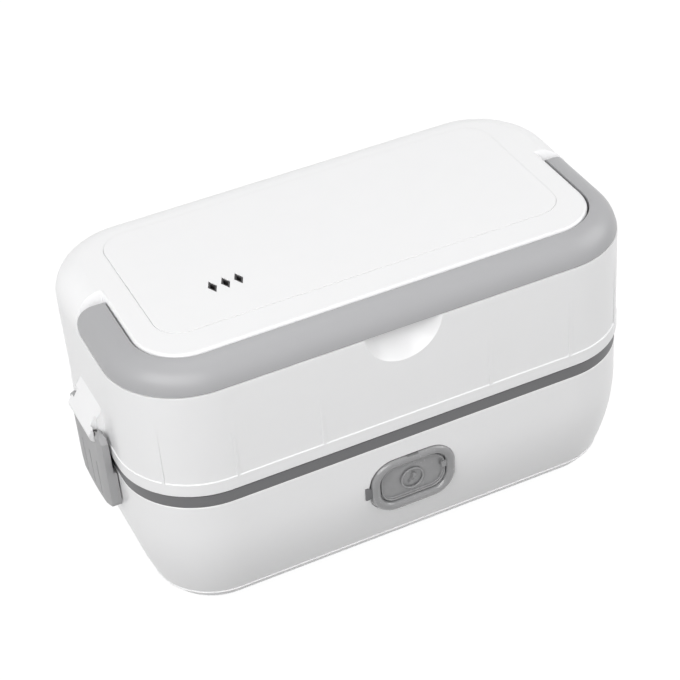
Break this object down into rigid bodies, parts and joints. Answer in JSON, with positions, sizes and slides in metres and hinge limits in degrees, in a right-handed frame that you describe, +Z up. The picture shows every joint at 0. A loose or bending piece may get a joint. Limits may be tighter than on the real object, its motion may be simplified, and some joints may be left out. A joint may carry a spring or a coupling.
{
  "type": "electric lunch box",
  "caption": "White electric lunch box with a heated base, a lift-off lid, grey end latches, a folding grey carry handle and steel food containers.",
  "frame": {"origin": "centre of the footprint, at the underside of the rubber feet", "axes": "+Z up, +X along the length of the box, the power inlet and the handle's bar on the -Y side"},
  "size_m": [0.2508, 0.1265, 0.1364],
  "materials": {
    "white_plastic": "satin moulded",
    "grey_handle": "satin moulded",
    "grey_trim": "fine matte",
    "grey_latch": "fine matte",
    "grey_silicone": "smooth",
    "clear_silicone": "smooth",
    "liner_plastic": "fine matte",
    "black_plastic": "fine matte",
    "foot_rubber": "matte",
    "steel": "brushed",
    "screw_steel": "zinc plated",
    "heater_aluminium": "as extruded",
    "brass_pin": "nickelled",
    "wire_jacket": "smooth",
    "ceramic": "glazed"
  },
  "bodies": {
    "base": {"base_shell": "white_plastic", "base_ring": "grey_trim", "bottom_cover": "white_plastic", "rubber_feet": "foot_rubber", "cover_screws": "screw_steel", "basin": "liner_plastic", "heating_plate": "steel", "ptc_heater": "heater_aluminium", "heater_clamp": "screw_steel", "clamp_screws": "screw_steel", "thermostat": "black_plastic", "thermal_fuse": "ceramic", "power_inlet": "black_plastic", "inlet_pins": "brass_pin", "inner_leads": "wire_jacket", "flap_anchor": "grey_silicone"},
    "inlet_flap": {"inlet_flap": "grey_silicone"},
    "lid": {"lid_shell": "white_plastic", "top_panel": "white_plastic", "steam_vent": "black_plastic", "vent_flap": "clear_silicone", "lid_liner": "liner_plastic", "liner_screws": "screw_steel", "lid_seal": "clear_silicone", "handle_pins": "screw_steel", "latch_pins": "screw_steel"},
    "handle": {"handle": "grey_handle"},
    "latch_left": {"latch_left": "grey_latch"},
    "latch_right": {"latch_right": "grey_latch"},
    "lower_container": {"lower_container": "steel"},
    "lower_lid": {"lower_lid": "liner_plastic", "lower_seal": "clear_silicone"},
    "upper_container": {"upper_container": "steel"},
    "upper_lid": {"upper_lid": "liner_plastic", "upper_seal": "clear_silicone", "steam_plug": "grey_silicone"}
  },
  "joints": [
    {"name": "lid_lift", "type": "slide", "parent": "base", "child": "lid", "axis": [0, 0, 1], "range_m": [0, 0.2]},
    {"name": "handle_fold", "type": "hinge", "parent": "lid", "child": "handle", "pos_m": [0, 0, 0.1304], "axis": [-1, 0, 0], "range_deg": [0, 90]},
    {"name": "latch_left_swing", "type": "hinge", "parent": "lid", "child": "latch_left", "pos_m": [-0.122, 0, 0.083], "axis": [0, 1, 0], "range_deg": [0, 100]},
    {"name": "latch_right_swing", "type": "hinge", "parent": "lid", "child": "latch_right", "pos_m": [0.122, 0, 0.083], "axis": [0, -1, 0], "range_deg": [0, 100]},
    {"name": "flap_swing", "type": "hinge", "parent": "base", "child": "inlet_flap", "pos_m": [-0.0208, -0.0629, 0.0424], "axis": [0, 0, -1], "range_deg": [0, 120]},
    {"name": "upper_lid_lift", "type": "slide", "parent": "base", "child": "upper_lid", "axis": [0, 0, 1], "range_m": [0, 0.15]},
    {"name": "upper_container_lift", "type": "slide", "parent": "base", "child": "upper_container", "axis": [0, 0, 1], "range_m": [0, 0.11]},
    {"name": "lower_lid_lift", "type": "slide", "parent": "base", "child": "lower_lid", "axis": [0, 0, 1], "range_m": [0, 0.07]},
    {"name": "lower_container_lift", "type": "slide", "parent": "base", "child": "lower_container", "axis": [0, 0, 1], "range_m": [0, 0.04]}
  ],
  "couplings": [
    {"joint": "upper_lid_lift", "follows": "lid_lift", "ratio": 0.75},
    {"joint": "upper_container_lift", "follows": "lid_lift", "ratio": 0.55},
    {"joint": "lower_lid_lift", "follows": "lid_lift", "ratio": 0.35},
    {"joint": "lower_container_lift", "follows": "lid_lift", "ratio": 0.2}
  ]
}
